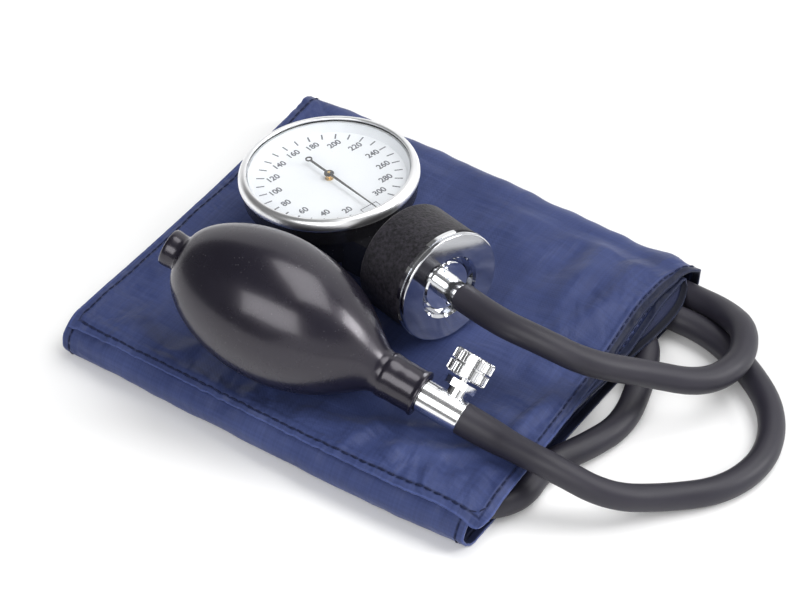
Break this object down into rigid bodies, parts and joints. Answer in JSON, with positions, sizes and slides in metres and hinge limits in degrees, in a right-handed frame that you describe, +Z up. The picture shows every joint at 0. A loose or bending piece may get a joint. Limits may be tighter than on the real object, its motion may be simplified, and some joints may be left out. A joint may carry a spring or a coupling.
{
  "type": "aneroid sphygmomanometer",
  "caption": "Pocket aneroid blood pressure gauge with capsule barrel, inflation bulb, release valve and rubber hoses, lying on its folded arm cuff.",
  "frame": {"origin": "middle of the folded cuff, on the surface that it lies on", "axes": "+X along the cuff's front edge towards the hoses' open end, +Y towards the cuff's back fold, +Z up"},
  "size_m": [0.2137, 0.1365, 0.0618],
  "materials": {
    "cuff_cloth": "shiny navy nylon",
    "patch_cloth": "hook and loop",
    "bladder_rubber": "matt",
    "hose_rubber": "matt",
    "bulb_rubber": "smooth",
    "seal_rubber": "matt",
    "black_case": "fine crackle paint",
    "dial_face": "matt white with black scale",
    "dial_surround": "matt white",
    "pointer_paint": "matt black",
    "chrome_plate": "polished",
    "clear_lens": "clear",
    "brass": "machined",
    "spring_bronze": "rolled",
    "steel": "turned",
    "spring_steel": "nickel plated",
    "spigot_plastic": "moulded"
  },
  "bodies": {
    "sphygmomanometer": {"barrel_screws": "steel", "bezel": "chrome_plate", "bladder": "bladder_rubber", "bulb": "bulb_rubber", "bulb_hose": "hose_rubber", "bulb_hose_spigot": "spigot_plastic", "capsule": "spring_bronze", "capsule_barrel": "black_case", "clip_rivets": "steel", "crimp_ring": "chrome_plate", "cuff_sleeve": "cuff_cloth", "dial_bush": "brass", "dial_plate": "dial_face", "dial_ring": "dial_surround", "flange_plate": "chrome_plate", "flange_seal": "seal_rubber", "gauge_case": "black_case", "gauge_clip": "spring_steel", "gauge_hose": "hose_rubber", "gauge_hose_spigot": "spigot_plastic", "gauge_nipple": "chrome_plate", "gland_nut": "chrome_plate", "hairspring": "spring_bronze", "hairspring_stud": "brass", "hook_patch": "patch_cloth", "inlet_valve_cage": "brass", "inlet_valve_seat": "brass", "lens": "clear_lens", "loop_patch": "patch_cloth", "movement_base_plate": "brass", "movement_pillars": "brass", "movement_screws": "steel", "movement_top_plate": "brass", "neck_bush": "brass", "outlet_valve_cage": "brass", "spanner_nut": "chrome_plate", "valve_body": "chrome_plate"},
    "sector_assembly": {"sector_gear": "brass", "sector_shaft": "steel"},
    "pointer_assembly": {"pointer": "pointer_paint", "pointer_hub": "pointer_paint", "arbor_pinion": "brass", "hairspring_collet": "brass"},
    "rod_assembly": {"push_rod": "steel", "capsule_pad": "brass"},
    "inlet_ball": {"inlet_valve_ball": "steel"},
    "outlet_ball": {"outlet_valve_ball": "steel"},
    "valve_needle": {"needle_stem": "steel"},
    "valve_knob": {"release_knob": "chrome_plate"}
  },
  "joints": [
    {"name": "sector_swing", "type": "hinge", "parent": "sphygmomanometer", "child": "sector_assembly", "pos_m": [-0.01117, 0.0012, 0.03113], "axis": [-0.0921, 0.0264, 0.9954], "range_deg": [0, 36.15]},
    {"name": "pointer_turn", "type": "hinge", "parent": "sphygmomanometer", "child": "pointer_assembly", "pos_m": [-0.02568, 0.00952, 0.02957], "axis": [0.0921, -0.0264, -0.9954], "range_deg": [0, 343.4], "deforming": ["hairspring"]},
    {"name": "rod_slide", "type": "slide", "parent": "sphygmomanometer", "child": "rod_assembly", "axis": [-0.9568, 0.2744, -0.0958], "range_m": [0, 0.0025], "deforming": ["capsule"]},
    {"name": "inlet_ball_lift", "type": "slide", "parent": "sphygmomanometer", "child": "inlet_ball", "axis": [0.9624, 0.1096, -0.2487], "range_m": [0, 0.0009]},
    {"name": "outlet_ball_lift", "type": "slide", "parent": "sphygmomanometer", "child": "outlet_ball", "axis": [0.9624, 0.1096, -0.2487], "range_m": [0, 0.0009]},
    {"name": "needle_lift", "type": "slide", "parent": "sphygmomanometer", "child": "valve_needle", "axis": [0.0812, 0.7572, 0.6481], "range_m": [0, 0.00101]},
    {"name": "knob_turn", "type": "hinge", "parent": "valve_needle", "child": "valve_knob", "pos_m": [0.05264, -0.04061, 0.02313], "axis": [0.0812, 0.7572, 0.6481], "range_deg": [0, 720]}
  ],
  "couplings": [
    {"joint": "pointer_turn", "follows": "sector_swing", "ratio": 9.5},
    {"joint": "rod_slide", "follows": "sector_swing", "m_per_rad": 0.003934},
    {"joint": "needle_lift", "follows": "knob_turn", "m_per_rad": 0.000079577}
  ]
}
